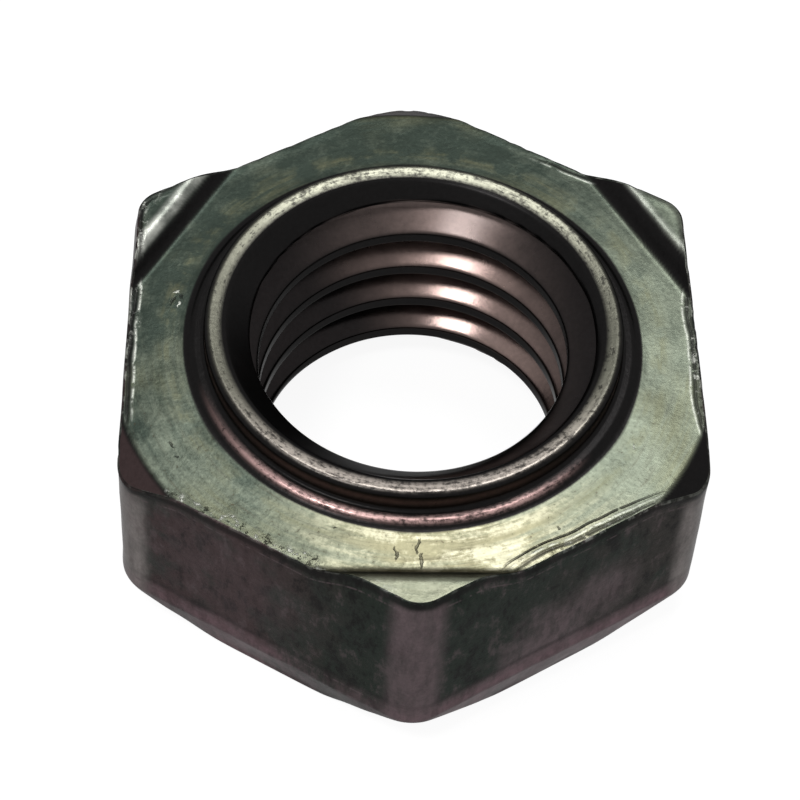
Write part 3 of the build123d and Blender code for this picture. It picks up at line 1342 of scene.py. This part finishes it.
@dataclass
class Studio:
    """Pale floor, soft lamps and the camera."""

    camera_place: Triple = (-3.2465, -44.4027, 65.4886)
    aim: Triple = (-0.1733, 1.9996, 1.4403)
    roll: float = 3.7197
    lens: float = 101.17
    sensor_width: float = 36.0
    world_strength: float = 0.5
    floor_half_width: float = 600.0
    floor_grey: float = 0.9
    floor_roughness: float = 0.9
    floor_glow: float = 1.12
    floor_glow_share: float = 0.82
    lamps: tuple[Lamp, ...] = (
        Lamp("key", (-52.0, -37.0, 147.0), 36.0, 0.068),
        Lamp("back", (15.0, 61.0, 147.0), 70.0, 0.088),
    )

    def camera(self) -> None:
        """Places the camera: it looks from its place to the aim, turned about that line by the roll."""
        data = bpy.data.cameras.new("camera")
        data.lens, data.sensor_width, data.clip_start = self.lens, self.sensor_width, MM
        camera = placed("camera", data)
        place = Vector(self.camera_place) * MM
        forward = (Vector(self.aim) * MM - place).normalized()
        level = forward.cross(Vector((0, 0, 1))).normalized()
        upright = level.cross(forward)
        turn = math.radians(self.roll)
        right = level * math.cos(turn) + upright * math.sin(turn)
        up = upright * math.cos(turn) - level * math.sin(turn)
        turned = Matrix((right, up, -forward)).transposed()
        camera.matrix_world = Matrix.Translation(place) @ turned.to_4x4()
        bpy.context.scene.camera = camera

    def seen(self, s: Shader) -> Wire:
        """1 for the rays that show the background: camera, glossy and transmission rays."""
        ray = s.node("ShaderNodeLightPath", output="Is Camera Ray")
        return ray | ray.at("Is Glossy Ray") | ray.at("Is Transmission Ray")

    def world(self) -> None:
        """Sets the world light, which shows white as the background."""
        world = bpy.data.worlds.new("studio")
        bpy.context.scene.world = world
        s = Shader(world)
        strength = s.node("ShaderNodeMix", None, {0: self.seen(s), 2: self.world_strength, 3: 1.0})
        light = s.node("ShaderNodeBackground", None, {"Color": grey(1), "Strength": strength})
        s.node("ShaderNodeOutputWorld", None, {"Surface": light})

    def floor_material(self) -> bpy.types.Material:
        """A pale floor that shows nearly white and keeps the nut's shadow.

        Returns:
            The floor's material.
        """
        material = bpy.data.materials.new("pale_floor")
        s = Shader(material)
        pale = {"Base Color": grey(self.floor_grey), "Roughness": self.floor_roughness}
        plain = s.node("ShaderNodeBsdfPrincipled", None, pale)
        white = s.node("ShaderNodeEmission", None, {"Color": grey(1), "Strength": self.floor_glow})
        share = self.seen(s) * self.floor_glow_share
        both = s.node("ShaderNodeMixShader", None, {0: share, 1: plain, 2: white})
        s.node("ShaderNodeOutputMaterial", None, {"Surface": both})
        return material

    def floor(self) -> None:
        """Lays the floor, one square."""
        half = self.floor_half_width * MM
        corners = [(-half, -half, 0), (half, -half, 0), (half, half, 0), (-half, half, 0)]
        mesh = bpy.data.meshes.new("floor")
        mesh.from_pydata(corners, [], [(0, 1, 2, 3)])
        mesh.materials.append(self.floor_material())
        floor = placed("floor", mesh)

    def build(self) -> None:
        """Sets up everything round the nut."""
        self.camera()
        self.world()
        self.floor()
        for lamp in self.lamps:
            lamp.hang()
        bpy.context.scene.view_settings.view_transform = "Standard"


def main() -> None:
    """Builds the nut, its finish and the studio, and reports each piece."""
    logging.basicConfig(level=logging.INFO, format="%(name)s: %(message)s")
    nut = WeldNut().build()
    nut.data.materials.append(ForgedSteel().material())
    LOG.info("%s: %d faces", nut.name, len(nut.data.polygons))
    Studio().build()


if __name__ == "__main__":
    main()
